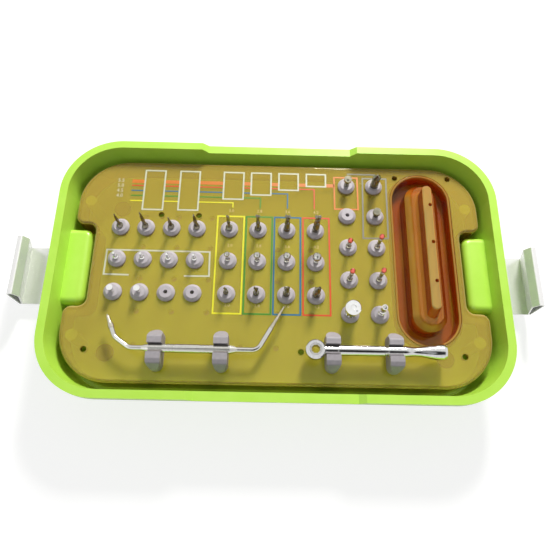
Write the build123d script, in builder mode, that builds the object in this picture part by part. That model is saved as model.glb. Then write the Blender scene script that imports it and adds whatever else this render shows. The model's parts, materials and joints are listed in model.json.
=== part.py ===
"""Implant prosthetic kit: a green case with a lift-out amber tray of dental tools.

Millimetres, +Z up, +X along the case, origin on the table under the case's centre.
"""
import os
from math import cos, radians, sin, tan

from build123d import *

# Case shell
case_length = 268.6
case_width = 161.6
case_height = 38.0
case_corner = 36.0
rim_width = 4.8
flange_overhang = 1.8
flange_height = 5.0
wall_draft = 8.0
floor_thickness = 3.0
foot_height = 3.0
dip_depth = 3.2
dip_length = 90.0
dip_ramp = 4.0
vent_diameter = 3.8
vent_pitch = 22.0
vent_columns = 9
vent_rows = 5

# Rubber feet, plugged through the floor
foot_diameter = 14.0
foot_neck_diameter = 6.0
foot_button_diameter = 10.8
foot_button_height = 1.6
foot_span_x = 208.0
foot_span_y = 98.0
foot_fit = 0.05

# Latches and the pockets that carry them
pocket_width = 43.0
pocket_depth = 16.8
pocket_height = 18.2
pocket_wall = 3.0
pocket_sill = 2.8
boss_round = 5.0
latch_width = 38.0
latch_sheet = 0.8
latch_reach = 40.0
latch_hook_height = 19.9
latch_beak_height = 14.7
latch_lip_width = 3.2
latch_bend = 1.2
pin_radius = 1.5
pin_running = 0.08
pin_from_edge = 13.3
pin_above_sill = 2.7
pin_grip = 2.5
pin_fit = 0.02

# Tray
tray_corner = 30.0
tray_sheet = 2.5
tray_below_rim = 8.0
skirt_height = 16.0
skirt_wall = 2.2
tray_end_gap = 1.327
tray_side_gap = 1.627
skirt_foot_draw = (tray_below_rim + skirt_height) * tan(radians(wall_draft))
tray_length = case_length - 2 * (rim_width + skirt_foot_draw + tray_end_gap)
tray_width = case_width - 2 * (rim_width + skirt_foot_draw + tray_side_gap)
tray_edge_round = 2.0
notch_width = 53.0
notch_depth = 12.8
notch_round = 5.0
post_diameter = 7.0
post_span_x = 236.0
post_span_y = 87.0
steam_hole_diameter = 3.5
steam_holes = [
    (-72.6, 33.4), (-49.4, 33.4), (-109.2, -52.4), (13.9, -51.6),
    (107.6, -52.5), (73.9, 63.2), (107.8, 63.4),
]
seat_gap = 0.1

# Lifting grip welded into the tray: a moat round a stepped ridge
grip_y = 9.0
grip_skirt_gap = 0.4
grip_length = 110.7
grip_width = 35.0
moat_width = 7.5
moat_depth = 8.0
moat_draft = 6.0
moat_wall = 1.4
grip_flange = 1.6
grip_flange_thickness = 1.8
grip_rim = moat_wall + grip_flange
grip_x = tray_length / 2 - notch_depth - skirt_wall - grip_skirt_gap - grip_rim - grip_width / 2
grip_fit = 0.1
island_wall = 2.2
island_rise = 1.5
terrace_rise = 6.3
terrace_inset = 3.3
ridge_rise = 15.0
ridge_width = 5.8
ridge_length = 78.5
ridge_shift_x = 0.3
ridge_shift_y = 1.4
ridge_draft = 3.0
ridge_slope_run = 3.2
ridge_hole_diameter = 2.2
ridge_hole_pitch = 24.3
ridge_hole_offset = 1.2
ridge_hole_shift = 3.3
ridge_round = 1.0
lip_round = 0.5

# Tool sockets: rows and columns of silicone grommets
left_columns = [-96.5, -81.0, -65.4, -49.9]
middle_columns = [-30.1, -12.5, 5.1, 22.7]
right_columns = [42.5, 59.9]
socket_rows = [24.1, 3.1, -17.9]
right_rows = [56.1, 34.9, 13.7, -7.5, -28.7]
grommet_diameter = 10.6
grommet_crown_diameter = 7.4
grommet_rise = 2.6
grommet_brim = 1.2
grommet_neck_diameter = 8.0
grommet_fit = 0.05
grommet_tail = 2.5
grommet_tail_diameter = 9.4

# Latch-type shank that every rotary tool shares
shank_radius = 1.175
socket_fit = 0.025
shank_length = 14.2
shank_groove = 0.85
shank_groove_at = 1.7
shank_flat = 0.65
shank_flat_length = 5.0
shoulder_radius = 1.9

# Tool clips
clip_width = 8.0
clip_length = 23.0
clip_height = 12.0
clip_end_height = 4.5
clip_crown = 6.4
clip_peg_diameter = 5.0
clip_peg_spacing = 13.0
clip_axis_height = 8.5
clip_fit = 0.1

# Double-ended probe
probe_y = -53.0
probe_clips = [-67.4, -31.0]
probe_left = -74.5
probe_right = -21.9
probe_radius = 2.5
probe_arm_radius = 1.4
probe_cone = 4.0
probe_groove = 0.25
probe_groove_width = 0.8

# Ratchet wrench
ratchet_y = -52.2
ratchet_clips = [31.2, 66.0]
ratchet_head_x = 21.4
ratchet_head_radius = 5.5
ratchet_head_height = 5.0
wheel_radius = 4.2
wheel_teeth = 12
wheel_tooth_depth = 0.7
wheel_running = 0.08
wheel_cover = 0.6
socket_flats = 4.6
neck_radius = 2.5
sleeve_start = 33.8
sleeve_end = 59.8
sleeve_radius = 2.95
sleeve_bore = 2.0
pawl_radius = 1.4
pawl_running = 0.06
pawl_length = 12.0
pawl_gap = 0.12
spring_radius = 1.2
spring_wire = 0.5
spring_turns = 5
handle_end = 94.2
handle_radius = 3.05
handle_waist_radius = 2.55
handle_flare_radius = 4.5
handle_waist_x = 76.0
handle_groove = 1.7
handle_plug_length = 12.0
handle_plug_running = 0.06

# Heights that follow from the sizes above
floor_bottom = foot_height
floor_top = floor_bottom + floor_thickness
plate_top = case_height - tray_below_rim
plate_bottom = plate_top - tray_sheet
skirt_bottom = plate_top - skirt_height
socket_top = plate_top + grommet_rise
tool_seat = socket_top + seat_gap
shank_bottom = socket_top - shank_length
pocket_floor = floor_bottom + pocket_sill
pocket_top = pocket_floor + pocket_height
clip_axis = plate_top + clip_axis_height
pin_x = case_length / 2 - pin_from_edge
pin_z = pocket_floor + pin_above_sill

os.makedirs("parts", exist_ok=True)


def finish(part, label):
    """Name a finished piece and write its file."""
    part.label = label
    export_step(part, "parts/" + label + ".step")


def upright(place):
    """Vertical plane through a place in plan: local x is radius, local y is height."""
    return Plane(origin=(place[0], place[1], 0), x_dir=(1, 0, 0), z_dir=(0, -1, 0))


def standing(place):
    """Vertical axis through a place in plan."""
    return Axis((place[0], place[1], 0), (0, 0, 1))


# Boss over each latch pocket: the swelling inside the case
boss_face = case_length / 2 - pocket_depth - pocket_wall
with BuildPart() as bosses:
    for side in (-1, 1):
        with BuildSketch(Plane.XY.offset(floor_bottom)):
            with Locations((side * (boss_face + case_length / 4), 0)):
                Rectangle(case_length / 2, pocket_width + 2 * pocket_wall)
    extrude(amount=pocket_top + pocket_wall - floor_bottom)
    corners = bosses.edges().filter_by(Axis.Z)
    fillet(corners.filter_by(lambda e: abs(e.center().X) < case_length / 2), radius=boss_round)
    crown = bosses.faces().sort_by(Axis.Z)[-2:].edges()
    fillet(crown.filter_by(lambda e: abs(e.center().X) < case_length / 2), radius=boss_round - 1)

# Hollow of the case, less the bosses
with BuildPart() as hollow:
    with BuildSketch(Plane.XY.offset(case_height)):
        RectangleRounded(case_length - 2 * rim_width, case_width - 2 * rim_width, case_corner - rim_width)
    extrude(amount=case_height - floor_top, dir=(0, 0, -1), taper=wall_draft)
    add(bosses.part, mode=Mode.SUBTRACT)

with BuildPart() as base_tub:
    with BuildSketch(Plane.XY.offset(case_height)):
        RectangleRounded(
            case_length - 2 * flange_overhang,
            case_width - 2 * flange_overhang,
            case_corner - flange_overhang,
        )
    extrude(amount=case_height - floor_bottom, dir=(0, 0, -1), taper=wall_draft)
    with BuildSketch(Plane.XY.offset(case_height)):
        RectangleRounded(case_length, case_width, case_corner)
    extrude(amount=-flange_height)
    add(hollow.part, mode=Mode.SUBTRACT)
    for side in (-1, 1):
        with BuildSketch(Plane.XY.offset(pocket_floor)):
            with Locations((side * (case_length / 2 - pocket_depth / 2), 0)):
                Rectangle(pocket_depth, pocket_width)
        extrude(amount=pocket_height, mode=Mode.SUBTRACT)
    with BuildSketch(Plane.XZ):
        with BuildLine():
            Polyline(
                (-dip_length / 2 - dip_ramp, case_height + 1),
                (-dip_length / 2 - dip_ramp, case_height),
                (-dip_length / 2, case_height - dip_depth),
                (dip_length / 2, case_height - dip_depth),
                (dip_length / 2 + dip_ramp, case_height),
                (dip_length / 2 + dip_ramp, case_height + 1),
                close=True,
            )
        make_face()
    extrude(amount=case_width, both=True, mode=Mode.SUBTRACT)
    with BuildSketch(Plane.XY.offset(floor_top)):
        with GridLocations(post_span_x, post_span_y, 2, 2):
            Circle(post_diameter / 2)
    extrude(amount=plate_bottom - seat_gap - floor_top)
    with BuildSketch(Plane.XY.offset(floor_bottom)):
        with GridLocations(vent_pitch, vent_pitch, vent_columns, vent_rows):
            Circle(vent_diameter / 2)
        with GridLocations(foot_span_x, foot_span_y, 2, 2):
            Circle(foot_neck_diameter / 2)
    extrude(amount=floor_thickness, mode=Mode.SUBTRACT)
    with BuildSketch(Plane.XZ):
        with Locations((-pin_x, pin_z), (pin_x, pin_z)):
            Circle(pin_radius + pin_fit)
    extrude(amount=pocket_width / 2 + pin_grip, both=True, mode=Mode.SUBTRACT)
finish(base_tub.part, "base_tub")

# Four feet: a pad below, a neck through the floor and a button above
with BuildPart() as rubber_feet:
    with BuildSketch():
        with GridLocations(foot_span_x, foot_span_y, 2, 2):
            Circle(foot_diameter / 2)
    extrude(amount=foot_height)
    with BuildSketch():
        with GridLocations(foot_span_x, foot_span_y, 2, 2):
            Circle(foot_neck_diameter / 2 - foot_fit)
    extrude(amount=floor_top)
    with BuildSketch(Plane.XY.offset(floor_top)):
        with GridLocations(foot_span_x, foot_span_y, 2, 2):
            Circle(foot_button_diameter / 2)
    extrude(amount=foot_button_height)
    chamfer(rubber_feet.edges().group_by(Axis.Z)[-1], length=0.5)
    chamfer(rubber_feet.edges().group_by(Axis.Z)[0], length=0.6)
finish(rubber_feet.part, "rubber_feet")


def latch_pin(side, label):
    """Steel pin across the pocket, gripped in both pocket walls."""
    with BuildPart() as pin:
        with BuildSketch(Plane.XZ):
            with Locations((side * pin_x, pin_z)):
                Circle(pin_radius)
        extrude(amount=pocket_width / 2 + pin_grip, both=True)
    finish(pin.part, label)


def latch(side, label):
    """Bent sheet latch: a curl round the pin, a flat arm and a folded hook, lying open."""
    curl = pin_radius + pin_running
    low = -curl - latch_sheet
    hook = Plane(origin=(side * pin_x, 0, pin_z), x_dir=(side, 0, 0), z_dir=(0, -side, 0))
    with BuildPart() as latch_piece:
        with BuildSketch(hook):
            Circle(curl + latch_sheet)
            with Locations((latch_reach / 2 - 1, low + latch_sheet / 2)):
                Rectangle(latch_reach - 2, latch_sheet)
            Circle(curl, mode=Mode.SUBTRACT)
        with BuildSketch(hook) as fold:
            with BuildLine():
                Polyline(
                    (latch_reach - 2.0, low),
                    (latch_reach, low),
                    (latch_reach, low + latch_hook_height - 1),
                    (latch_reach - latch_lip_width, low + latch_hook_height),
                    (latch_reach - latch_lip_width - 3.0, low + latch_beak_height),
                    close=True,
                )
            make_face()
            fillet(fold.vertices().sort_by(Axis.Y)[-3:], radius=latch_bend)
            offset(amount=-latch_sheet, mode=Mode.SUBTRACT)
        extrude(amount=latch_width / 2, both=True)
    finish(latch_piece.part, label)


latch_pin(-1, "latch_pin_left")
latch_pin(1, "latch_pin_right")
latch(-1, "latch_left")
latch(1, "latch_right")


def place_grid(columns, rows):
    """Every crossing of some columns and rows, row by row."""
    return [(x, y) for y in rows for x in columns]


left_sockets = place_grid(left_columns, socket_rows[:2]) + place_grid(left_columns[:2], socket_rows[2:])
middle_sockets = place_grid(middle_columns, socket_rows)
right_sockets = place_grid(right_columns, right_rows)
right_spare = right_sockets.pop(2)
spare_sockets = place_grid(left_columns[2:], socket_rows[2:]) + [right_spare]
peg_offsets = (-clip_peg_spacing / 2, clip_peg_spacing / 2)
probe_pegs = [(x, probe_y + y) for x in probe_clips for y in peg_offsets]
ratchet_pegs = [(x, ratchet_y + y) for x in ratchet_clips for y in peg_offsets]

# Envelope of the tray, with the end notches that clear the latch bosses
with BuildPart() as envelope:
    with BuildSketch(Plane.XY.offset(skirt_bottom)) as tray_outline:
        RectangleRounded(tray_length, tray_width, tray_corner)
        with Locations((-tray_length / 2, 0), (tray_length / 2, 0)):
            Rectangle(2 * notch_depth, notch_width, mode=Mode.SUBTRACT)
        notch_corners = tray_outline.vertices().filter_by(lambda v: abs(v.Y) < notch_width / 2 + 0.1)
        fillet(notch_corners, radius=notch_round)
    extrude(amount=skirt_height)
    fillet(envelope.faces().sort_by(Axis.Z)[-1].edges(), radius=tray_edge_round)

# Space inside the skirt, under the plate
with BuildPart() as tray_core:
    with BuildSketch(Plane.XY.offset(skirt_bottom)):
        add(tray_outline.sketch_local)
        offset(amount=-skirt_wall)
    extrude(amount=skirt_height - tray_sheet)

moat_bottom = plate_top - moat_depth
terrace_top = plate_top + terrace_rise
ridge_top = plate_top + ridge_rise
ridge_x = grip_x + ridge_shift_x
ridge_y = grip_y + ridge_shift_y
moat_lean = moat_depth * tan(radians(moat_draft))
ridge_foot = ridge_width + 2 * (ridge_top - terrace_top) * tan(radians(ridge_draft))


def grip_outline(inset, height):
    """Outline of the grip at an inset from its rim, on a level plane."""
    with BuildSketch(Plane((grip_x, grip_y, height))) as shape:
        SlotOverall(grip_length - 2 * inset, grip_width - 2 * inset, rotation=90)
    return shape.sketch


def ridge_outline(length, width, center_y, height):
    """Outline of the ridge on a level plane."""
    with BuildSketch(Plane((ridge_x, center_y, height))) as shape:
        SlotOverall(length, width, rotation=90)
    return shape.sketch


# Lifting grip: a trough with a stepped ridge in it, hollow below, and a flange under the plate
with BuildPart() as moat:
    loft([grip_outline(0, plate_top), grip_outline(moat_lean, moat_bottom)])
with BuildPart() as island:
    loft(
        [
            grip_outline(moat_width - moat_lean, moat_bottom),
            grip_outline(moat_width, plate_top + island_rise),
        ]
    )
    loft(
        [
            grip_outline(moat_width, plate_top + island_rise),
            grip_outline(moat_width + terrace_inset, terrace_top),
        ]
    )
    loft(
        [
            ridge_outline(ridge_length + ridge_slope_run, ridge_foot, ridge_y - ridge_slope_run / 2, terrace_top),
            ridge_outline(ridge_length, ridge_width, ridge_y, ridge_top),
        ]
    )
    fillet(island.faces().sort_by(Axis.Z)[-1].edges(), radius=ridge_round)
with BuildPart() as grip_hollow:
    loft(
        [
            grip_outline(moat_width - moat_lean + island_wall, moat_bottom - moat_wall),
            grip_outline(moat_width + island_wall, plate_top),
        ]
    )
    loft(
        [
            grip_outline(moat_width + island_wall, plate_top),
            grip_outline(moat_width + terrace_inset + island_wall, terrace_top - island_wall),
        ]
    )
with BuildPart() as lift_grip:
    loft([grip_outline(moat_lean - moat_wall, moat_bottom - moat_wall), grip_outline(-moat_wall, plate_top)])
    with BuildSketch(Plane((grip_x, grip_y, plate_bottom))):
        SlotOverall(
            grip_length + 2 * (moat_wall + grip_flange),
            grip_width + 2 * (moat_wall + grip_flange),
            rotation=90,
        )
    extrude(amount=-grip_flange_thickness)
    add(moat.part, mode=Mode.SUBTRACT)
    fillet(lift_grip.faces().sort_by(Axis.Z)[-1].edges(), radius=lip_round)
    add(island.part)
    add(grip_hollow.part, mode=Mode.SUBTRACT)
    with BuildSketch(Plane.XY.offset(ridge_top)):
        with Locations((ridge_x + ridge_hole_offset, grip_y + ridge_hole_shift)):
            with GridLocations(0, ridge_hole_pitch, 1, 3):
                Circle(ridge_hole_diameter / 2)
    extrude(amount=terrace_top - ridge_top - island_wall, mode=Mode.SUBTRACT)
finish(lift_grip.part, "lift_grip")

# Skirt of the tray, from the plate's underside down
with BuildPart() as tray_skirt:
    add(envelope.part)
    add(tray_core.part, mode=Mode.SUBTRACT)
    split(bisect_by=Plane.XY.offset(plate_bottom), keep=Keep.BOTTOM)
finish(tray_skirt.part, "tray_skirt")

# Plate of the tray, with its sockets, pegs and steam holes
with BuildPart() as tray:
    add(envelope.part)
    split(bisect_by=Plane.XY.offset(plate_bottom), keep=Keep.TOP)
    with BuildSketch(Plane.XY.offset(plate_top)):
        with Locations((grip_x, grip_y)):
            SlotOverall(
                grip_length + 2 * (moat_wall + grip_fit),
                grip_width + 2 * (moat_wall + grip_fit),
                rotation=90,
            )
        with Locations(*left_sockets, *middle_sockets, *right_sockets, *spare_sockets):
            Circle(grommet_neck_diameter / 2)
        with Locations(*probe_pegs, *ratchet_pegs):
            Circle(clip_peg_diameter / 2 + clip_fit / 2)
        with Locations(*steam_holes):
            Circle(steam_hole_diameter / 2)
    extrude(amount=-tray_sheet, mode=Mode.SUBTRACT)
finish(tray.part, "tray")


def grommets(places, label):
    """Domed silicone plugs snapped through the plate, one solid in each socket."""
    with BuildPart() as plugs:
        for place in places:
            with BuildSketch(upright(place)):
                with BuildLine():
                    Polyline(
                        (shank_radius + socket_fit, plate_bottom - grommet_tail),
                        (grommet_tail_diameter / 2 - 1.0, plate_bottom - grommet_tail),
                        (grommet_tail_diameter / 2, plate_bottom),
                        (grommet_neck_diameter / 2 - grommet_fit, plate_bottom),
                        (grommet_neck_diameter / 2 - grommet_fit, plate_top),
                        (grommet_diameter / 2, plate_top),
                        (grommet_diameter / 2, plate_top + grommet_brim),
                        (grommet_crown_diameter / 2, socket_top),
                        (shank_radius + socket_fit, socket_top),
                        close=True,
                    )
                make_face()
            revolve(axis=standing(place))
    finish(plugs.part, label)


grommets(left_sockets, "grommets_left")
grommets(middle_sockets, "grommets_middle")
grommets(right_sockets, "grommets_right")
grommets(spare_sockets, "grommets_spare")


def clip(place, grip_radius, label):
    """Silicone clip on two pegs: a block with an open slot that the handle drops into."""
    side_view = Plane(origin=(place[0], place[1], plate_top), x_dir=(0, 1, 0), z_dir=(1, 0, 0))
    slot = grip_radius + clip_fit
    with BuildPart() as clip_piece:
        with BuildSketch(side_view) as profile:
            with BuildLine():
                Polyline(
                    (-clip_length / 2, 0),
                    (-clip_length / 2, clip_end_height),
                    (-clip_length / 2 + 2.6, clip_height - 1),
                    (-clip_crown, clip_height),
                    (clip_crown, clip_height),
                    (clip_length / 2, clip_end_height),
                    (clip_length / 2, 0),
                    close=True,
                )
            make_face()
            fillet(profile.vertices().sort_by(Axis.Y)[2:], radius=1.4)
            with Locations((0, clip_axis_height)):
                Circle(slot, mode=Mode.SUBTRACT)
            with Locations((0, clip_axis_height + clip_height / 2)):
                Rectangle(2 * slot, clip_height, mode=Mode.SUBTRACT)
        extrude(amount=clip_width / 2, both=True)
        with BuildSketch(Plane.XY.offset(plate_top)):
            with Locations(place):
                SlotOverall(clip_length, clip_width, rotation=90)
        extrude(amount=clip_height, mode=Mode.INTERSECT)
        with BuildSketch(Plane.XY.offset(plate_bottom)):
            with Locations(*[(place[0], place[1] + y) for y in peg_offsets]):
                Circle(clip_peg_diameter / 2)
        extrude(amount=tray_sheet)
        with BuildSketch(Plane.XY.offset(plate_bottom)):
            with Locations(*[(place[0], place[1] + y) for y in peg_offsets]):
                Circle(clip_peg_diameter / 2 + 0.7)
        extrude(amount=-1.6, taper=25)
    finish(clip_piece.part, label)


clip((probe_clips[0], probe_y), probe_radius, "probe_clip_left")
clip((probe_clips[1], probe_y), probe_radius, "probe_clip_right")
clip((ratchet_clips[0], ratchet_y), sleeve_radius, "ratchet_clip_left")
clip((ratchet_clips[1], ratchet_y), handle_radius, "ratchet_clip_right")


def lying(y):
    """Level axis along X at the clips' height: local x is along it, local y is radius."""
    return Plane(origin=(0, y, clip_axis), x_dir=(1, 0, 0), z_dir=(0, 0, 1))


def lying_axis(y):
    """The matching axis for a revolve."""
    return Axis((0, y, clip_axis), (1, 0, 0))


# Probe: a grooved handle with two bent arms, and a thick and a fine working end
left_bend = [(probe_left + 1, probe_y), (-81.5, probe_y), (-90.0, -47.0), (-92.2, -42.0)]
right_bend = [(probe_right - 1, probe_y), (-10.6, probe_y), (-3.5, -40.4)]
with BuildPart() as probe_handle:
    with BuildSketch(lying(probe_y)):
        with BuildLine():
            Polyline(
                (probe_left, 0),
                (probe_left, probe_arm_radius),
                (probe_left + probe_cone, probe_radius),
                (probe_right - probe_cone, probe_radius),
                (probe_right, probe_arm_radius),
                (probe_right, 0),
                close=True,
            )
        make_face()
        for groove_x in (-60.5, -58.5, -56.5, -41.5, -39.5, -37.5):
            with Locations((groove_x, probe_radius)):
                Rectangle(probe_groove_width, 2 * probe_groove, mode=Mode.SUBTRACT)
    revolve(axis=lying_axis(probe_y))
    for bend in (left_bend, right_bend):
        with BuildLine(Plane.XY.offset(clip_axis)) as path:
            FilletPolyline(*bend, radius=6)
        with BuildSketch(Plane(path.line @ 0, z_dir=path.line % 0)):
            Circle(probe_arm_radius)
        sweep(path=path.line)
finish(probe_handle.part, "probe_handle")


def probe_tip(bend, profile, label):
    """Tapered working end, turned about the last straight of an arm: points of distance and radius."""
    start = Vector(bend[-1][0], bend[-1][1], clip_axis)
    heading = start - Vector(bend[-2][0], bend[-2][1], clip_axis)
    with BuildPart() as tip:
        with BuildSketch(Plane(origin=start, x_dir=heading, z_dir=(0, 0, 1))):
            with BuildLine():
                Polyline((0, 0), *profile, (profile[-1][0], 0), close=True)
            make_face()
        revolve(axis=Axis(start, heading))
    finish(tip.part, label)


probe_tip(left_bend, [(0, 1.75), (2.4, 1.75), (2.8, 1.25), (7.2, 0.95), (8.1, 0.6)], "probe_thick_tip")
probe_tip(
    right_bend,
    [
        (0, 1.2), (3.2, 1.15), (3.4, 0.95), (4.4, 0.95), (4.6, 1.05),
        (7.4, 0.9), (7.6, 0.7), (8.6, 0.7), (8.8, 0.8), (14.8, 0.35),
    ],
    "probe_fine_tip",
)

# Ratchet head: the ring that holds the wheel, with the neck that guides the pawl
ring_low = clip_axis - ratchet_head_height / 2
ring_center = (ratchet_head_x, ratchet_y)
wheel_room = wheel_radius + wheel_running
lip_radius = wheel_radius - wheel_tooth_depth
neck_end = sleeve_start + 2.2
with BuildPart() as ratchet_head:
    with BuildSketch(Plane.XY.offset(ring_low)):
        with Locations(ring_center):
            Circle(ratchet_head_radius)
    extrude(amount=ratchet_head_height)
    chamfer(ratchet_head.edges().filter_by(GeomType.CIRCLE), length=0.5)
    with BuildSketch(lying(ratchet_y)):
        with BuildLine():
            Polyline(
                (ratchet_head_x, 0),
                (ratchet_head_x, neck_radius),
                (sleeve_start, neck_radius),
                (sleeve_start, sleeve_bore - 0.03),
                (neck_end, sleeve_bore - 0.03),
                (neck_end, 0),
                close=True,
            )
        make_face()
    revolve(axis=lying_axis(ratchet_y))
    with BuildSketch(Plane(origin=(ratchet_head_x, ratchet_y, clip_axis), x_dir=(0, 1, 0), z_dir=(1, 0, 0))):
        Circle(pawl_radius + pawl_running)
    extrude(amount=neck_end - ratchet_head_x, mode=Mode.SUBTRACT)
    with BuildSketch(Plane.XY.offset(ring_low)):
        with Locations(ring_center):
            Circle(lip_radius)
    extrude(amount=ratchet_head_height, mode=Mode.SUBTRACT)
    with BuildSketch(Plane.XY.offset(ring_low + wheel_cover)):
        with Locations(ring_center):
            Circle(wheel_room)
    extrude(amount=ratchet_head_height - 2 * wheel_cover, mode=Mode.SUBTRACT)
finish(ratchet_head.part, "ratchet_head")

# Ratchet wheel: slanted teeth round an eight-sided socket, with a boss through each lip
tooth_turn = 360 / wheel_teeth
tooth_gap_center = 7.0
tooth_points = []
for tooth in range(wheel_teeth):
    for turn, radius in ((0.0, wheel_radius), (2.0, lip_radius), (12.0, lip_radius)):
        angle = radians(tooth * tooth_turn + turn - tooth_gap_center)
        tooth_points.append((radius * cos(angle), radius * sin(angle)))
with BuildPart() as ratchet_wheel:
    with BuildSketch(Plane((ratchet_head_x, ratchet_y, ring_low + wheel_cover + wheel_running))):
        with BuildLine():
            Polyline(*tooth_points, close=True)
        make_face()
    extrude(amount=ratchet_head_height - 2 * wheel_cover - 2 * wheel_running)
    with BuildSketch(Plane((ratchet_head_x, ratchet_y, ring_low))):
        Circle(lip_radius - wheel_running)
    extrude(amount=ratchet_head_height)
    with BuildSketch(Plane((ratchet_head_x, ratchet_y, ring_low))):
        RegularPolygon(socket_flats / 2, 8, major_radius=False, rotation=22.5)
    extrude(amount=ratchet_head_height, mode=Mode.SUBTRACT)
finish(ratchet_wheel.part, "ratchet_wheel")

# Pawl: a rod whose slanted nose stands in a tooth gap
pawl_nose = ratchet_head_x + wheel_radius - wheel_tooth_depth + pawl_gap
with BuildPart() as ratchet_pawl:
    with BuildSketch(Plane(origin=(pawl_nose, ratchet_y, clip_axis), x_dir=(0, 1, 0), z_dir=(1, 0, 0))):
        Circle(pawl_radius)
    extrude(amount=pawl_length)
    with BuildSketch(Plane((pawl_nose, ratchet_y, clip_axis))):
        with BuildLine():
            Polyline((-0.1, 0.2), (0.53, 2), (-0.1, 2), close=True)
        make_face()
        with BuildLine():
            Polyline((-0.1, -0.17), (0.7, -0.42), (0.7, -2), (-0.1, -2), close=True)
        make_face()
    extrude(amount=pawl_radius, both=True, mode=Mode.SUBTRACT)
finish(ratchet_pawl.part, "ratchet_pawl")

# Sleeve, and the turned handle whose plug runs in its bore
with BuildPart() as ratchet_sleeve:
    with BuildSketch(lying(ratchet_y)):
        with BuildLine():
            Polyline(
                (sleeve_start, sleeve_bore),
                (sleeve_start, sleeve_radius - 0.3),
                (sleeve_start + 0.3, sleeve_radius),
                (sleeve_end - 0.3, sleeve_radius),
                (sleeve_end, sleeve_radius - 0.3),
                (sleeve_end, sleeve_bore),
                close=True,
            )
        make_face()
    revolve(axis=lying_axis(ratchet_y))
finish(ratchet_sleeve.part, "ratchet_sleeve")

plug_face = sleeve_end - handle_plug_length
with BuildPart() as ratchet_handle:
    with BuildSketch(lying(ratchet_y)):
        with BuildLine():
            Polyline(
                (plug_face, 0),
                (plug_face, sleeve_bore - handle_plug_running),
                (sleeve_end + 0.1, sleeve_bore - handle_plug_running),
                (sleeve_end + 0.1, handle_waist_radius),
                (sleeve_end + handle_groove, handle_waist_radius),
                (sleeve_end + handle_groove, handle_radius - 0.2),
                (sleeve_end + handle_groove + 0.2, handle_radius),
                (handle_waist_x - 5, handle_radius),
            )
            Spline(
                (handle_waist_x - 5, handle_radius),
                (handle_waist_x, handle_waist_radius),
                (handle_end - 8, handle_flare_radius - 0.5),
                (handle_end - 2, handle_flare_radius),
                tangents=((1, 0), (1, 0)),
            )
            Polyline(
                (handle_end - 2, handle_flare_radius),
                (handle_end - 0.6, handle_flare_radius - 0.6),
                (handle_end, handle_flare_radius - 2),
                (handle_end, 0),
                (plug_face, 0),
            )
        make_face()
    revolve(axis=lying_axis(ratchet_y))
finish(ratchet_handle.part, "ratchet_handle")

spring_start = pawl_nose + pawl_length + 0.05
spring_length = plug_face - 0.05 - spring_start - spring_wire
with BuildPart() as pawl_spring:
    with BuildLine() as coil:
        Helix(
            pitch=spring_length / spring_turns,
            height=spring_length,
            radius=spring_radius,
            center=(spring_start + spring_wire / 2, ratchet_y, clip_axis),
            direction=(1, 0, 0),
        )
    with BuildSketch(Plane(coil.line @ 0, z_dir=coil.line % 0)):
        Rectangle(spring_wire, spring_wire)
    sweep(path=coil.line, is_frenet=True)
finish(pawl_spring.part, "pawl_spring")


def turn_outline(place, outline):
    """Add a turned solid: points of radius and height above the plate, about a socket's axis."""
    with BuildSketch(upright(place)) as half:
        with BuildLine():
            Polyline(*[(radius, plate_top + height) for radius, height in outline], close=True)
        make_face()
    revolve(half.sketch, axis=standing(place))


def shank(place):
    """Add the latch-type shank below a tool: a turned groove and a half-round driving end."""
    with BuildSketch(upright(place)) as half:
        with BuildLine():
            Polyline(
                (0, shank_bottom),
                (shank_radius - 0.2, shank_bottom),
                (shank_radius, shank_bottom + 0.2),
                (shank_radius, shank_bottom + shank_groove_at),
                (shank_groove, shank_bottom + shank_groove_at),
                (shank_groove, shank_bottom + shank_groove_at + 0.9),
                (shank_radius, shank_bottom + shank_groove_at + 0.9),
                (shank_radius, tool_seat + 0.2),
                (0, tool_seat + 0.2),
                close=True,
            )
        make_face()
    revolve(half.sketch, axis=standing(place))
    with BuildSketch(Plane((place[0], place[1], shank_bottom))) as flat:
        with Locations((shank_flat + shank_radius, 0)):
            Rectangle(2 * shank_radius, 4 * shank_radius)
    extrude(flat.sketch, amount=shank_flat_length, mode=Mode.SUBTRACT)


def flute_section(place, radius, height, turn, web=0.42):
    """Two-lipped drill section, turned about the socket's axis."""
    with BuildSketch(Plane((place[0], place[1], plate_top + height))) as section:
        with BuildLine():
            Polyline(
                *[
                    (
                        reach * radius * cos(radians(turn + half_turn + angle)),
                        reach * radius * sin(radians(turn + half_turn + angle)),
                    )
                    for half_turn in (0, 180)
                    for angle, reach in ((-36, 0.97), (0, 0.98), (36, 0.97), (64, 0.6), (105, web))
                ],
                close=True,
            )
        make_face()
    return section.sketch


def flutes(place, stations, turn_rate):
    """Add a twisted cutting part through stations of radius and height."""
    sections = [flute_section(place, radius, height, height * turn_rate) for radius, height in stations]
    loft(sections, ruled=True)


def fluted_tool(place, label, collar, stations, turn_rate):
    """Shank, turned collar and twisted cutting part in one piece of steel."""
    with BuildPart() as tool:
        turn_outline(place, collar)
        shank(place)
        flutes(place, stations, turn_rate)
    finish(tool.part, label)


seat_rise = tool_seat - plate_top


def twist_drill(place, radius, height, label):
    """Surgical twist drill with a stop collar."""
    collar = [
        (0, seat_rise), (2.1, seat_rise), (2.1, seat_rise + 1.0), (radius, seat_rise + 2.2),
        (radius, 6.0), (0, 6.0),
    ]
    rise = (height - 6.0 - radius * 0.6) / 3
    stations = [(radius, 6.0 + step * rise) for step in range(4)] + [(radius * 0.15, height)]
    fluted_tool(place, label, collar, stations, 18.0)


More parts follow.
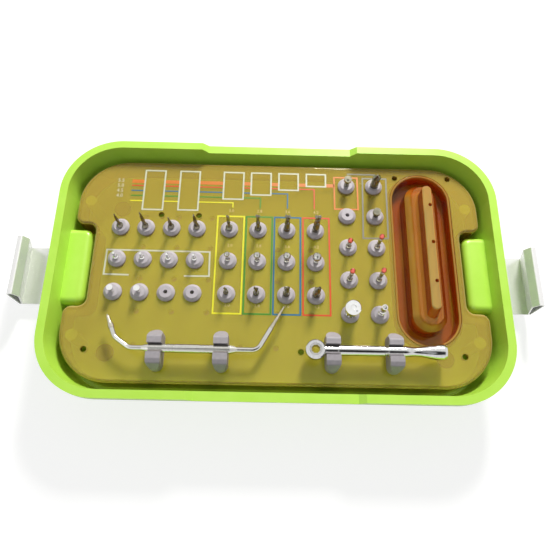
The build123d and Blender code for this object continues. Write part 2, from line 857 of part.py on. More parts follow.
def short_drill(place, radius, height, label):
    """Short shaping drill with a flush collar."""
    collar = [(0, seat_rise), (radius + 0.3, seat_rise), (radius + 0.3, 4.6), (radius, 5.2), (0, 5.2)]
    rise = (height - 5.2 - 1.2) / 2
    stations = [(radius, 5.2), (radius, 5.2 + rise), (radius, 5.2 + 2 * rise), (radius * 0.35, height)]
    fluted_tool(place, label, collar, stations, 14.0)


def side_cutter(place, radius, height, label):
    """Tapered side-cutting drill on a waisted neck."""
    collar = [
        (0, seat_rise), (shoulder_radius, seat_rise), (shoulder_radius, 3.4), (0.8, 4.6), (0.8, 5.4),
        (radius, 6.0), (0, 6.0),
    ]
    rise = (height - 6.0) / 3
    stations = [
        (radius, 6.0), (radius * 0.9, 6.0 + rise), (radius * 0.7, 6.0 + 2 * rise), (radius * 0.4, height),
    ]
    fluted_tool(place, label, collar, stations, 25.0)


def turned_tool(place, label, outline):
    """Shank and turned head in one piece."""
    with BuildPart() as tool:
        turn_outline(place, outline)
        shank(place)
    finish(tool.part, label)


side_cutter_sizes = [(1.1, 17.0), (1.35, 19.6), (1.2, 14.4), (1.5, 18.6)]
for index, (place, (radius, height)) in enumerate(zip(left_sockets[:4], side_cutter_sizes)):
    side_cutter(place, radius, height, "side_cutter_" + str(index + 1))


def drive_pin(place, label):
    """Short driver: a slim stem with a six-sided tip."""
    with BuildPart() as tool:
        turn_outline(
            place,
            [(0, seat_rise), (1.5, seat_rise), (1.5, 3.8), (1.0, 4.3), (1.0, 6.6), (0, 6.6)],
        )
        shank(place)
        with BuildSketch(Plane((place[0], place[1], plate_top + 6.6))):
            RegularPolygon(0.95, 6)
        extrude(amount=2.9)
        chamfer(tool.faces().sort_by(Axis.Z)[-1].edges(), length=0.3)
    finish(tool.part, label)


for index, place in enumerate(left_sockets[4:8]):
    drive_pin(place, "drive_pin_" + str(index + 1))


def tissue_punch(place, label):
    """Cup-shaped punch whose wall is grooved below a plain crown."""
    with BuildPart() as tool:
        turn_outline(
            place,
            [(0, seat_rise), (1.45, seat_rise), (1.45, 3.6), (1.85, 6.4), (1.85, 8.2), (0, 8.2)],
        )
        shank(place)
        with BuildSketch(Plane((place[0], place[1], plate_top + 3.0))):
            with PolarLocations(1.95, 6):
                Rectangle(0.6, 0.5)
        extrude(amount=3.6, mode=Mode.SUBTRACT)
    finish(tool.part, label)


for index, place in enumerate(left_sockets[8:]):
    tissue_punch(place, "tissue_punch_" + str(index + 1))

twist_drill_sizes = [(1.15, 18.6), (1.4, 20.0), (1.8, 20.6), (2.05, 21.0)]
for index, (place, (radius, height)) in enumerate(zip(middle_sockets[:4], twist_drill_sizes)):
    twist_drill(place, radius, height, "twist_drill_" + str(index + 1))


def ball_profiler(place, radius, label):
    """Bone profiler: a slim neck under a ball with a small pilot."""
    center = 12.3 - radius
    arc = [
        (radius * sin(radians(angle)), center - radius * cos(radians(angle)))
        for angle in range(30, 166, 15)
    ]
    arc[0] = (0.9, arc[0][1] - 0.1)
    neck = [(0, seat_rise), (1.45, seat_rise), (1.45, 3.6), (0.9, 4.2)]
    turned_tool(place, label, neck + arc + [(0.5, 12.3), (0, 12.3)])


for index, (place, radius) in enumerate(zip(middle_sockets[4:8], (1.65, 2.05, 2.25, 2.65))):
    ball_profiler(place, radius, "ball_profiler_" + str(index + 1))

short_drill_sizes = [(1.2, 11.0), (1.45, 12.6), (1.75, 14.2), (2.05, 14.6)]
for index, (place, (radius, height)) in enumerate(zip(middle_sockets[8:], short_drill_sizes)):
    short_drill(place, radius, height, "short_drill_" + str(index + 1))

turned_tool(
    right_sockets[0],
    "counterbore_drill",
    [
        (0, seat_rise), (1.6, seat_rise), (1.6, 3.4), (1.35, 3.6), (1.35, 5.6),
        (2.4, 7.8), (2.4, 9.6), (0.8, 9.6), (0.8, 10.4), (0, 10.4),
    ],
)
fluted_tool(
    right_sockets[1],
    "large_twist_drill",
    [(0, seat_rise), (2.6, seat_rise), (2.6, 6.6), (0, 6.6)],
    [(2.6, 6.6), (2.6, 9.6), (2.6, 12.4), (0.5, 15.0)],
    14.0,
)
turned_tool(
    right_sockets[2],
    "countersink_drill",
    [(0, seat_rise), (1.6, seat_rise), (1.6, 4.2), (2.4, 6.0), (2.4, 8.2), (0, 8.2)],
)


def screw_driver(place, height, label):
    """Driver with a necked stem and a rounded drive tip."""
    stem = [
        (0, seat_rise), (1.7, seat_rise), (1.7, 3.5), (1.15, 4.0),
        (1.15, height - 5.0), (0.7, height - 4.4),
    ]
    tip = [
        (0.7, height - 3.6), (1.35, height - 2.7), (1.55, height - 1.8), (1.4, height - 0.8),
        (0.8, height), (0, height),
    ]
    turned_tool(place, label, stem + tip)


for index, (place, height) in enumerate(zip(right_sockets[3:7], (12.4, 18.6, 17.0, 19.0))):
    screw_driver(place, height, "screw_driver_" + str(index + 1))

# Hand driver: a finger wheel with a dimple and a tether hole, ribbed below
knob_place = right_sockets[7]
with BuildPart() as hand_driver:
    turn_outline(
        knob_place,
        [
            (0, seat_rise), (2.2, seat_rise), (2.2, 4.2), (3.7, 4.8), (3.7, 11.8), (4.5, 12.2),
            (4.5, 13.6), (4.1, 14.0), (1.6, 14.0), (1.3, 13.5), (0, 13.5),
        ],
    )
    shank(knob_place)
    with BuildSketch(Plane((knob_place[0], knob_place[1], plate_top + 5.0))):
        with PolarLocations(3.7, 12):
            Rectangle(0.8, 0.9)
    extrude(amount=6.9, mode=Mode.SUBTRACT)
    with BuildSketch(Plane((knob_place[0] + 1.9, knob_place[1] - 2.2, plate_top + 14.0))):
        Circle(0.5)
    extrude(amount=-1.6, mode=Mode.SUBTRACT)
finish(hand_driver.part, "hand_driver")

# Drill extender: a shank with a tubular socket on top
turned_tool(
    right_sockets[8],
    "drill_extender",
    [
        (0, seat_rise), (2.0, seat_rise), (2.0, 5.0), (1.5, 5.6), (1.5, 6.8), (1.9, 7.2),
        (1.9, 8.4), (1.5, 8.8), (1.5, 14.4), (1.65, 15.0), (1.2, 15.0), (1.2, 9.0), (0, 9.0),
    ],
)
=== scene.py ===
"""Looks for the implant prosthetic kit: materials, printing, lights, floor and camera.

Metres throughout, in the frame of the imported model: origin on the table, +Z up.
"""
import json
from math import cos, radians, sin

import bmesh
import bpy
from mathutils import Matrix, Vector


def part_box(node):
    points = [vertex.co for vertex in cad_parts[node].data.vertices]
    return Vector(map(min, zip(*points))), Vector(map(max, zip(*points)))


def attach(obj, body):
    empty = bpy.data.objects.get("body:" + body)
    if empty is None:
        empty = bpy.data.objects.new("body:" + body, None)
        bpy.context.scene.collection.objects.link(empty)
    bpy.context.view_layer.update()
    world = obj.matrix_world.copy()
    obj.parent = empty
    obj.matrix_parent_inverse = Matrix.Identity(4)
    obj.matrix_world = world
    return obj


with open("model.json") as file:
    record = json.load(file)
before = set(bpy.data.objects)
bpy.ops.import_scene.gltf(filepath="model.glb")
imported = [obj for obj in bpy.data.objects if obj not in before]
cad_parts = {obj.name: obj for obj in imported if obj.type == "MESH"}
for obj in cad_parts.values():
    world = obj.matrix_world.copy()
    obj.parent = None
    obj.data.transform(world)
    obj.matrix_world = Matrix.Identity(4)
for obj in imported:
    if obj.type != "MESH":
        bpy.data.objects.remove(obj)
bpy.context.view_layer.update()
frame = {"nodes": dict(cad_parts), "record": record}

nodes = frame["nodes"]
bpy.context.scene.view_settings.view_transform = "Standard"
grommet_rise = 0.0026
plate_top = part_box("grommets_spare")[1].z - grommet_rise


def linear(red, green, blue):
    """Linear colour from the 0 to 255 values that a screen shows."""
    def channel(value):
        value /= 255
        return value / 12.92 if value <= 0.04045 else ((value + 0.055) / 1.055) ** 2.4

    return (channel(red), channel(green), channel(blue), 1.0)


# Camera fitted to the photograph
camera_place = Vector((-0.0053, -0.1218, 0.3300))
camera_dip = radians(70.0)
camera_roll = radians(3.13)
camera_yaw = radians(1.99)
camera_lens = 35.3
camera_shift_y = 0.0218

# Key light from behind and slightly right, with a wide soft sky
lamp_distance = 1.1
lamp_aim = Vector((0, 0, 0.03))
key_direction = Vector((0.20, 0.80, 0.60))
key_size = 0.22
key_power = 15.0
key_color = (1.0, 0.98, 0.95)
fill_direction = Vector((-0.45, -0.55, 0.9))
fill_size = 0.9
fill_power = 1.5
fill_color = (0.96, 0.98, 1.0)
sky_strength = 0.36

# Dark card over the front of the table, which polished steel mirrors
card_direction = Vector((0.0, -0.42, 0.91)).normalized()
card_dark = (0.03, 0.03, 0.03, 1.0)
card_from = 0.87
card_full = 0.90

# How far see-through plastic turns edge on where it starts and ends growing dense
facing_clear = 0.15
facing_dense = 0.85
tint_clear = 0.1
tint_dense = 0.9

# Share of the painted highlight along rounded edges, by how far up a surface faces
edge_highlight_slopes = [
    (0.15, (0, 0, 0, 1)),
    (0.45, (1, 1, 1, 1)),
    (0.92, (1, 1, 1, 1)),
    (0.985, (0, 0, 0, 1)),
]

# Heights that the colours of the lifting grip run between; these colours are painted shade, darker and
# redder low in the moat and paler higher up
grip_low = 0.022
grip_high = 0.045

# Rosy tips of the screw drivers
rosy = linear(232, 116, 104)
tip_length = 0.0036
tip_fade = 0.0002

# Floor: the part under the case stays dark, and the open floor shows white
floor_reach = 2.5
floor_glow = 0.74
under_case_x = 0.123
under_case_y = 0.069


# Camera, turned by its dip, yaw and roll
forward = Vector((cos(camera_dip) * sin(camera_yaw), cos(camera_dip) * cos(camera_yaw), -sin(camera_dip)))
level_right = Vector((cos(camera_yaw), -sin(camera_yaw), 0))
level_up = level_right.cross(forward)
camera_right = level_right * cos(camera_roll) + level_up * sin(camera_roll)
camera_up = level_up * cos(camera_roll) - level_right * sin(camera_roll)
camera_data = bpy.data.cameras.new("camera")
camera_data.sensor_width = 36
camera_data.lens = camera_lens
camera_data.shift_y = camera_shift_y
camera_data.clip_start = 0.01
camera = bpy.data.objects.new("camera", camera_data)
camera.matrix_world = Matrix(
    (
        (camera_right.x, camera_up.x, -forward.x, camera_place.x),
        (camera_right.y, camera_up.y, -forward.y, camera_place.y),
        (camera_right.z, camera_up.z, -forward.z, camera_place.z),
        (0, 0, 0, 1),
    )
)
bpy.context.scene.collection.objects.link(camera)
bpy.context.scene.camera = camera


def add_area(name, direction, size, power, color):
    data = bpy.data.lights.new(name, "AREA")
    data.size = size
    data.energy = power
    data.color = color
    lamp = bpy.data.objects.new(name, data)
    lamp.location = direction.normalized() * lamp_distance + lamp_aim
    lamp.rotation_euler = direction.to_track_quat("Z", "Y").to_euler()
    bpy.context.scene.collection.objects.link(lamp)


add_area("key", key_direction, key_size, key_power, key_color)
add_area("fill", fill_direction, fill_size, fill_power, fill_color)


def link(tree, source, target):
    """Join two node sockets."""
    tree.links.new(source, target)


def calculate(tree, operation, first, second):
    """Math node of a socket with another socket or a number."""
    node = tree.nodes.new("ShaderNodeMath")
    node.operation = operation
    link(tree, first, node.inputs[0])
    if isinstance(second, (int, float)):
        node.inputs[1].default_value = second
    else:
        link(tree, second, node.inputs[1])
    return node.outputs[0]


def spread(tree, source, start, end, low=0.0, high=1.0):
    """Socket's value moved from one range to another."""
    node = tree.nodes.new("ShaderNodeMapRange")
    node.inputs["From Min"].default_value = start
    node.inputs["From Max"].default_value = end
    node.inputs["To Min"].default_value = low
    node.inputs["To Max"].default_value = high
    link(tree, source, node.inputs["Value"])
    return node.outputs["Result"]


def ramp_node(tree, stops, source):
    """Colour ramp through (place, colour) stops, driven by a socket."""
    node = tree.nodes.new("ShaderNodeValToRGB")
    node.color_ramp.elements[0].position = stops[0][0]
    node.color_ramp.elements[0].color = stops[0][1]
    node.color_ramp.elements[1].position = stops[-1][0]
    node.color_ramp.elements[1].color = stops[-1][1]
    for place, color in stops[1:-1]:
        node.color_ramp.elements.new(place).color = color
    link(tree, source, node.inputs["Fac"])
    return node.outputs["Color"]


def seen_directly(tree):
    """Value that is 1 for what the camera sees straight, in gloss or through glass."""
    path = tree.nodes.new("ShaderNodeLightPath")
    seen = path.outputs["Is Camera Ray"]
    for other in ("Is Glossy Ray", "Is Transmission Ray"):
        seen = calculate(tree, "MAXIMUM", seen, path.outputs[other])
    return seen


world = bpy.data.worlds.new("sky")
world.use_nodes = True
bpy.context.scene.world = world
sky = world.node_tree
background = sky.nodes["Background"]
sky_level = spread(sky, seen_directly(sky), 0.0, 1.0, sky_strength, 1.0)
link(sky, sky_level, background.inputs["Strength"])
sky_place = sky.nodes.new("ShaderNodeTexCoord")
card_dot = sky.nodes.new("ShaderNodeVectorMath")
card_dot.operation = "DOT_PRODUCT"
card_dot.inputs[1].default_value = card_direction
link(sky, sky_place.outputs["Generated"], card_dot.inputs[0])
sky_stops = [(card_from, (1.0, 1.0, 1.0, 1.0)), (card_full, card_dark)]
link(sky, ramp_node(sky, sky_stops, card_dot.outputs["Value"]), background.inputs["Color"])


def new_material(name):
    """Empty node material with its shader."""
    material = bpy.data.materials.new(name)
    material.use_nodes = True
    return material, material.node_tree, material.node_tree.nodes["Principled BSDF"]


def mottle(tree, scale, low, high, detail=3.0, stretch=(1, 1, 1)):
    """Noise in the object's own coordinates, and its colour between two."""
    place = tree.nodes.new("ShaderNodeTexCoord")
    mapping = tree.nodes.new("ShaderNodeMapping")
    mapping.inputs["Scale"].default_value = stretch
    noise = tree.nodes.new("ShaderNodeTexNoise")
    noise.inputs["Scale"].default_value = scale
    noise.inputs["Detail"].default_value = detail
    link(tree, place.outputs["Object"], mapping.inputs["Vector"])
    link(tree, mapping.outputs["Vector"], noise.inputs["Vector"])
    level = noise.outputs["Fac"]
    return level, ramp_node(tree, [(0.3, low), (0.7, high)], level)


def roughen(tree, shader, level, rough, bump, distance):
    """Let the noise vary the roughness and raise a fine bump."""
    link(tree, spread(tree, level, 0.0, 1.0, rough[0], rough[1]), shader.inputs["Roughness"])
    raised = tree.nodes.new("ShaderNodeBump")
    raised.inputs["Strength"].default_value = bump
    raised.inputs["Distance"].default_value = distance
    link(tree, level, raised.inputs["Height"])
    link(tree, raised.outputs["Normal"], shader.inputs["Normal"])


def plastic(name, low, high, rough, coat=0.0, bump=0.05, scale=90.0):
    """Moulded plastic or silicone with a faint flow mottle."""
    material, tree, shader = new_material(name)
    level, color = mottle(tree, scale, low, high)
    link(tree, color, shader.inputs["Base Color"])
    shader.inputs["Coat Weight"].default_value = coat
    shader.inputs["Coat Roughness"].default_value = 0.08
    roughen(tree, shader, level, rough, bump, 0.0002)
    return material


def multiply_colors(tree, first, second):
    """Product of two colour sockets."""
    node = tree.nodes.new("ShaderNodeMix")
    node.data_type = "RGBA"
    node.blend_type = "MULTIPLY"
    node.inputs[0].default_value = 1.0
    link(tree, first, node.inputs[6])
    link(tree, second, node.inputs[7])
    return node.outputs[2]


def tint_where(tree, share, source, tint):
    """Colour of a socket, turned to a plain tint where the share socket is 1."""
    node = tree.nodes.new("ShaderNodeMix")
    node.data_type = "RGBA"
    node.inputs[7].default_value = tint
    link(tree, share, node.inputs[0])
    link(tree, source, node.inputs[6])
    return node.outputs[2]


def height_share(tree, low, high):
    """Share of the way up between two heights, in the object's own coordinates."""
    place = tree.nodes.new("ShaderNodeTexCoord")
    axes = tree.nodes.new("ShaderNodeSeparateXYZ")
    link(tree, place.outputs["Object"], axes.inputs["Vector"])
    return spread(tree, axes.outputs["Z"], low, high)


def clear_plastic(name, stops, covers, filters, rough, painted_edge_highlight=None, heights=None):
    """Clear tinted moulding: darker, redder and denser where it is seen edge on, with painted shade by
    height and a painted highlight along rounded edges where asked.
    """
    material, tree, shader = new_material(name)
    level, mottled = mottle(tree, 60.0, (0.97, 0.97, 0.97, 1), (1.0, 1.0, 1.0, 1))
    weight = tree.nodes.new("ShaderNodeLayerWeight")
    weight.inputs["Blend"].default_value = 0.5
    facing = weight.outputs["Facing"]
    color = ramp_node(tree, stops, facing)
    # Painted shade: colour multiplied by a ramp over height
    if heights:
        low, high, levels = heights
        color = multiply_colors(tree, color, ramp_node(tree, levels, height_share(tree, low, high)))
    if painted_edge_highlight:
        # Painted highlight: a pale tint on surfaces that slope like a rounded edge
        shape = tree.nodes.new("ShaderNodeNewGeometry")
        slope = tree.nodes.new("ShaderNodeSeparateXYZ")
        link(tree, shape.outputs["Normal"], slope.inputs["Vector"])
        band = ramp_node(tree, edge_highlight_slopes, slope.outputs["Z"])
        color = tint_where(tree, band, color, painted_edge_highlight)
    link(tree, multiply_colors(tree, color, mottled), shader.inputs["Base Color"])
    shader.inputs["Alpha"].default_value = 0.9
    shader.inputs["Coat Weight"].default_value = 0.6
    shader.inputs["Coat Roughness"].default_value = 0.04
    roughen(tree, shader, level, rough, 0.02, 0.0002)
    through = tree.nodes.new("ShaderNodeBsdfTransparent")
    tints = [(tint_clear, filters[0]), (tint_dense, filters[1])]
    link(tree, ramp_node(tree, tints, facing), through.inputs["Color"])
    cover = spread(tree, facing, facing_clear, facing_dense, covers[0], covers[1])
    blend = tree.nodes.new("ShaderNodeMixShader")
    link(tree, cover, blend.inputs["Fac"])
    link(tree, through.outputs["BSDF"], blend.inputs[1])
    link(tree, shader.outputs["BSDF"], blend.inputs[2])
    link(tree, blend.outputs["Shader"], tree.nodes["Material Output"].inputs["Surface"])
    return material


def metal(name, low, high, rough, stretch=(1, 1, 1), metallic=1.0):
    """Steel with fine machining marks and slight tone changes."""
    material, tree, shader = new_material(name)
    level, color = mottle(tree, 400.0, low, high, detail=2.0, stretch=stretch)
    link(tree, color, shader.inputs["Base Color"])
    shader.inputs["Metallic"].default_value = metallic
    roughen(tree, shader, level, rough, 0.04, 0.0001)
    return material


finishes = {
    "green_plastic": plastic(
        "green_plastic",
        linear(182, 232, 74),
        linear(188, 236, 84),
        (0.30, 0.40),
        coat=0.15,
    ),
    "amber_plastic": clear_plastic(
        "amber_plastic",
        [
            (0.0, linear(255, 236, 100)),
            (0.22, linear(255, 222, 90)),
            (0.50, linear(150, 96, 36)),
            (0.75, linear(84, 42, 14)),
            (1.0, linear(50, 22, 8)),
        ],
        (0.32, 1.0),
        ((1.0, 0.97, 0.66, 1), (0.45, 0.14, 0.05, 1)),
        (0.08, 0.13),
        # Painted highlight along the tray's rounded edge
        painted_edge_highlight=linear(226, 196, 118),
    ),
    "grip_plastic": clear_plastic(
        "grip_plastic",
        [
            (0.0, linear(255, 232, 156)),
            (0.25, linear(255, 214, 122)),
            (0.50, linear(236, 146, 60)),
            (0.75, linear(158, 70, 30)),
            (1.0, linear(56, 18, 12)),
        ],
        (0.40, 0.95),
        ((1.0, 0.80, 0.42, 1), (0.40, 0.08, 0.03, 1)),
        (0.04, 0.08),
        # Painted shade by height: darker and redder low in the moat, paler higher up
        heights=(
            grip_low,
            grip_high,
            [
                (0.0, linear(206, 112, 50)),
                (0.20, linear(216, 104, 44)),
                (0.36, linear(250, 232, 170)),
                (0.55, linear(255, 244, 176)),
                (0.64, linear(226, 140, 76)),
                (0.93, linear(230, 150, 84)),
                (0.98, linear(255, 248, 214)),
            ],
        ),
    ),
    "foot_rubber": plastic("foot_rubber", linear(46, 38, 28), linear(56, 47, 36), (0.55, 0.7)),
    "grey_silicone": plastic(
        "grey_silicone",
        linear(178, 172, 176),
        linear(188, 182, 186),
        (0.42, 0.55),
        bump=0.12,
        scale=500.0,
    ),
    "clip_silicone": plastic(
        "clip_silicone",
        linear(152, 148, 152),
        linear(164, 159, 163),
        (0.45, 0.6),
        bump=0.15,
        scale=500.0,
    ),
    "latch_steel": metal(
        "latch_steel",
        (0.84, 0.84, 0.83, 1),
        (0.90, 0.90, 0.89, 1),
        (0.20, 0.30),
        stretch=(1, 12, 1),
        metallic=0.45,
    ),
    "pin_steel": metal("pin_steel", (0.60, 0.60, 0.60, 1), (0.70, 0.70, 0.70, 1), (0.2, 0.3)),
    "probe_steel": metal(
        "probe_steel",
        (0.56, 0.55, 0.50, 1),
        (0.66, 0.65, 0.60, 1),
        (0.08, 0.18),
        stretch=(8, 1, 1),
    ),
    "probe_tip_steel": metal(
        "probe_tip_steel",
        (0.50, 0.47, 0.36, 1),
        (0.62, 0.58, 0.46, 1),
        (0.12, 0.24),
    ),
    "ratchet_steel": metal(
        "ratchet_steel",
        (0.58, 0.58, 0.57, 1),
        (0.68, 0.68, 0.67, 1),
        (0.10, 0.20),
        stretch=(6, 1, 1),
    ),
    "ratchet_handle_steel": metal(
        "ratchet_handle_steel",
        (0.60, 0.60, 0.59, 1),
        (0.70, 0.70, 0.69, 1),
        (0.10, 0.20),
        stretch=(6, 1, 1),
    ),
    "wheel_steel": metal("wheel_steel", (0.40, 0.40, 0.39, 1), (0.52, 0.52, 0.50, 1), (0.2, 0.35)),
    "spring_steel": metal("spring_steel", (0.50, 0.50, 0.50, 1), (0.60, 0.60, 0.60, 1), (0.2, 0.3)),
    "cutter_steel": metal("cutter_steel", (0.16, 0.14, 0.11, 1), (0.26, 0.23, 0.18, 1), (0.18, 0.34)),
    "drill_steel": metal("drill_steel", (0.20, 0.19, 0.14, 1), (0.32, 0.30, 0.23, 1), (0.16, 0.30)),
    "bright_steel": metal("bright_steel", (0.82, 0.82, 0.80, 1), (0.90, 0.90, 0.88, 1), (0.06, 0.16)),
    "polished_steel": metal(
        "polished_steel",
        (0.46, 0.45, 0.41, 1),
        (0.58, 0.57, 0.52, 1),
        (0.04, 0.12),
    ),
}


def driver_metal(name, tip_height):
    """Bronzed stem with a rosy tip above a height."""
    material, tree, shader = new_material(name)
    level, bronze = mottle(tree, 400.0, (0.34, 0.32, 0.24, 1), (0.46, 0.43, 0.33, 1), detail=2.0)
    share = height_share(tree, tip_height - tip_fade, tip_height + tip_fade)
    link(tree, tint_where(tree, share, bronze, rosy), shader.inputs["Base Color"])
    shader.inputs["Metallic"].default_value = 1.0
    roughen(tree, shader, level, (0.12, 0.22), 0.04, 0.0001)
    return material


for part in frame["record"]["subparts"]:
    cad = nodes[part["node"]]
    cad.data.materials.clear()
    if part["node"].startswith("screw_driver"):
        tip_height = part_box(part["node"])[1].z - tip_length
        cad.data.materials.append(driver_metal(part["node"] + "_steel", tip_height))
    else:
        cad.data.materials.append(finishes[part["material_slot"]])


def reach_share(tree, value, limit):
    """Fourth power of a coordinate over its limit; two of them sum to 1 on a rounded outline."""
    share = calculate(tree, "DIVIDE", value, limit)
    square = calculate(tree, "MULTIPLY", share, share)
    return calculate(tree, "MULTIPLY", square, square)


# Floor and background
floor_material, floor_tree, floor_shader = new_material("floor")
floor_color = mottle(floor_tree, 3.0, (0.42, 0.42, 0.42, 1), (0.44, 0.44, 0.44, 1))[1]
link(floor_tree, floor_color, floor_shader.inputs["Base Color"])
floor_shader.inputs["Roughness"].default_value = 0.7
floor_shader.inputs["Specular IOR Level"].default_value = 0.1
floor_shader.inputs["Emission Color"].default_value = (1.0, 1.0, 1.0, 1.0)
floor_place = floor_tree.nodes.new("ShaderNodeTexCoord")
floor_axes = floor_tree.nodes.new("ShaderNodeSeparateXYZ")
link(floor_tree, floor_place.outputs["Object"], floor_axes.inputs["Vector"])
reach_x = reach_share(floor_tree, floor_axes.outputs["X"], under_case_x)
reach_y = reach_share(floor_tree, floor_axes.outputs["Y"], under_case_y)
outside = calculate(floor_tree, "GREATER_THAN", calculate(floor_tree, "ADD", reach_x, reach_y), 1.0)
glow = calculate(floor_tree, "MULTIPLY", outside, seen_directly(floor_tree))
glow_level = calculate(floor_tree, "MULTIPLY", glow, floor_glow)
link(floor_tree, glow_level, floor_shader.inputs["Emission Strength"])
floor_corners = [
    (-floor_reach, -floor_reach, 0),
    (floor_reach, -floor_reach, 0),
    (floor_reach, floor_reach, 0),
    (-floor_reach, floor_reach, 0),
]
floor_mesh = bpy.data.meshes.new("floor")
floor_mesh.from_pydata(floor_corners, [], [(0, 1, 2, 3)])
floor_mesh.materials.append(floor_material)
floor = bpy.data.objects.new("floor", floor_mesh)
bpy.context.scene.collection.objects.link(floor)

# Printing on the tray: flat ribbons of ink, just proud of the plate
ink_rise = 0.00004
ink_thickness = 0.00003
ink_unevenness = 1.12
cap_height_share = 0.7
least_mitre_share = 0.3


def ink(name, color):
    """Ink with a slightly uneven cover."""
    lighter = tuple(min(1.0, channel * ink_unevenness) for channel in color[:3]) + (1.0,)
    return plastic(name, color, lighter, (0.35, 0.5), scale=700.0)


inks = {
    "white": ink("ink_white", linear(196, 200, 176)),
    "grey": ink("ink_grey", linear(120, 120, 104)),
    "orange": ink("ink_orange", linear(206, 116, 30)),
    "red": ink("ink_red", linear(206, 70, 20)),
    "blue": ink("ink_blue", linear(20, 104, 140)),
    "green": ink("ink_green", linear(58, 132, 26)),
    "yellow": ink("ink_yellow", linear(222, 220, 36)),
    "pale": ink("ink_pale", linear(196, 184, 120)),
}


def ribbon(name, points, width, color):
    """Flat ribbon of ink along points in millimetres, mitred where it turns."""
    half = width / 2000
    path = [Vector((x / 1000, y / 1000)) for x, y in points]
    closed = (path[0] - path[-1]).length < 1e-6
    if closed:
        path = path[:-1]
    sides = []
    count = len(path)
    for index, corner in enumerate(path):
        before = path[index - 1] if index or closed else None
        after = path[(index + 1) % count] if index < count - 1 or closed else None
        runs = []
        if before is not None:
            runs.append((corner - before).normalized())
        if after is not None:
            runs.append((after - corner).normalized())
        along = runs[0] if len(runs) == 1 else (runs[0] + runs[1]).normalized()
        across = Vector((-along.y, along.x))
        stretch = 1 / max(least_mitre_share, across.dot(Vector((-runs[-1].y, runs[-1].x))))
        sides.append((corner + across * half * stretch, corner - across * half * stretch))
    shape = bmesh.new()
    low, high = plate_top + ink_rise, plate_top + ink_rise + ink_thickness
    rows = [
        [shape.verts.new((side.x, side.y, height)) for side in pair for height in (low, high)]
        for pair in sides
    ]
    spans = list(zip(rows, rows[1:] + rows[:1])) if closed else list(zip(rows, rows[1:]))
    for first, second in spans:
        for a, b in ((1, 3), (0, 1), (3, 2), (2, 0)):
            shape.faces.new((first[a], first[b], second[b], second[a]))
    if not closed:
        for row in (rows[0], rows[-1]):
            shape.faces.new((row[0], row[1], row[3], row[2]))
    bmesh.ops.recalc_face_normals(shape, faces=shape.faces)
    mesh = bpy.data.meshes.new(name)
    shape.to_mesh(mesh)
    shape.free()
    mesh.materials.append(inks[color])
    piece = bpy.data.objects.new(name, mesh)
    bpy.context.scene.collection.objects.link(piece)
    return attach(piece, "tray_body")


# Where the printing lies, in millimetres
thin = 0.75
bold = 1.0
band = 2.4
size_boxes = [
    (-84.9, -72.4, 36.8),
    (-62.8, -50.5, 37.0),
    (-35.1, -22.6, 45.4),
    (-17.7, -5.2, 48.8),
    (-0.2, 12.1, 52.7),
    (17.3, 29.5, 55.8),
]
box_top = 64.6
lead_start = -93.0
lead_lines = [
    ("orange", 56.6, 35.0, None, band),
    ("red", 53.6, 22.2, 39.6, thin),
    ("blue", 50.0, 5.4, 39.6, thin),
    ("green", 46.5, -11.6, 39.4, thin),
    ("yellow", 42.8, -28.7, 39.5, thin),
]
column_frames = [
    ("yellow", -37.6, -21.3),
    ("green", -19.9, -3.9),
    ("blue", -2.5, 13.5),
    ("red", 15.1, 31.2),
]
frame_low = -29.7
frame_high = 33.3
orange_box = (35.0, 49.7, 40.1, 62.7)
grey_box = [
    (43.4, 65.4), (61.0, 65.4), (61.0, 62.5), (68.2, 62.5),
    (67.6, 20.6), (52.2, 20.4), (53.2, 62.5), (60.5, 62.5),
]
row_frame = [
    (-88.5, -7.0), (-103.4, -6.8), (-103.2, 9.0),
    (-41.3, 8.9), (-40.9, -6.8), (-55.8, -7.0),
]
size_numbers = [("5.5", 57.0), ("5.0", 53.4), ("4.5", 49.8), ("4.0", 46.2)]
size_number_x = -100.0
size_number_height = 2.4
depth_numbers = [("2.0", -29.4), ("2.8", -11.9), ("3.6", 5.5), ("4.2", 23.2)]
depth_number_rows = (37.2, 13.6, -24.6)
depth_number_height = 1.9


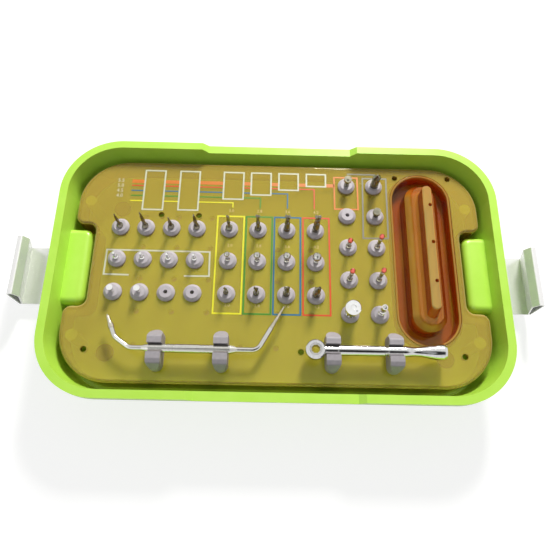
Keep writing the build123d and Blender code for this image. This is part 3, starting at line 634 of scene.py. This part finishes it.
def outline(name, left, right, low, high, width, color):
    """Closed rectangle of ink."""
    corners = [(left, low), (right, low), (right, high), (left, high), (left, low)]
    return ribbon(name, corners, width, color)


for index, (left, right, low) in enumerate(size_boxes):
    outline("size_box_%d" % (index + 1), left, right, low, box_top, bold, "white")
for color, height, end, drop, width in lead_lines:
    crossed = [(left, right) for left, right, low in size_boxes if low < height and left < end]
    start = lead_start
    stretches = []
    for left, right in crossed:
        stretches.append((start, left - bold / 2))
        start = right + bold / 2
    for index, (left, right) in enumerate(stretches):
        ribbon("lead_%s_%d" % (color, index), [(left, height), (right, height)], width, color)
    last = [(start, height), (end, height)] + ([(end, drop)] if drop else [])
    ribbon("lead_%s_end" % color, last, width, color)
for color, left, right in column_frames:
    outline("column_frame_" + color, left, right, frame_low, frame_high, bold, color)
outline("orange_box", *orange_box, bold, "orange")
ribbon("grey_box", grey_box, bold, "grey")
ribbon("row_frame", row_frame, bold, "white")


def number(name, text, x, y, height, color):
    """Plain number printed on the plate, centred at a place in millimetres."""
    letters = bpy.data.curves.new(name + "_outline", "FONT")
    letters.body = text
    letters.size = height / (1000 * cap_height_share)
    letters.align_x = "CENTER"
    letters.align_y = "CENTER"
    letters.extrude = ink_thickness / 2
    letters.resolution_u = 2
    holder = bpy.data.objects.new(name + "_outline", letters)
    bpy.context.scene.collection.objects.link(holder)
    bpy.context.view_layer.update()
    evaluated = holder.evaluated_get(bpy.context.evaluated_depsgraph_get())
    mesh = bpy.data.meshes.new_from_object(evaluated)
    bpy.data.objects.remove(holder)
    mesh.transform(Matrix.Translation((x / 1000, y / 1000, plate_top + ink_rise + ink_thickness / 2)))
    mesh.materials.clear()
    mesh.materials.append(inks[color])
    piece = bpy.data.objects.new(name, mesh)
    bpy.context.scene.collection.objects.link(piece)
    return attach(piece, "tray_body")


for text, height in size_numbers:
    number("size_" + text.replace(".", "_"), text, size_number_x, height, size_number_height, "white")
for text, column in depth_numbers:
    for row, height in enumerate(depth_number_rows):
        name = "depth_%s_%d" % (text.replace(".", "_"), row)
        number(name, text, column, height, depth_number_height, "pale")
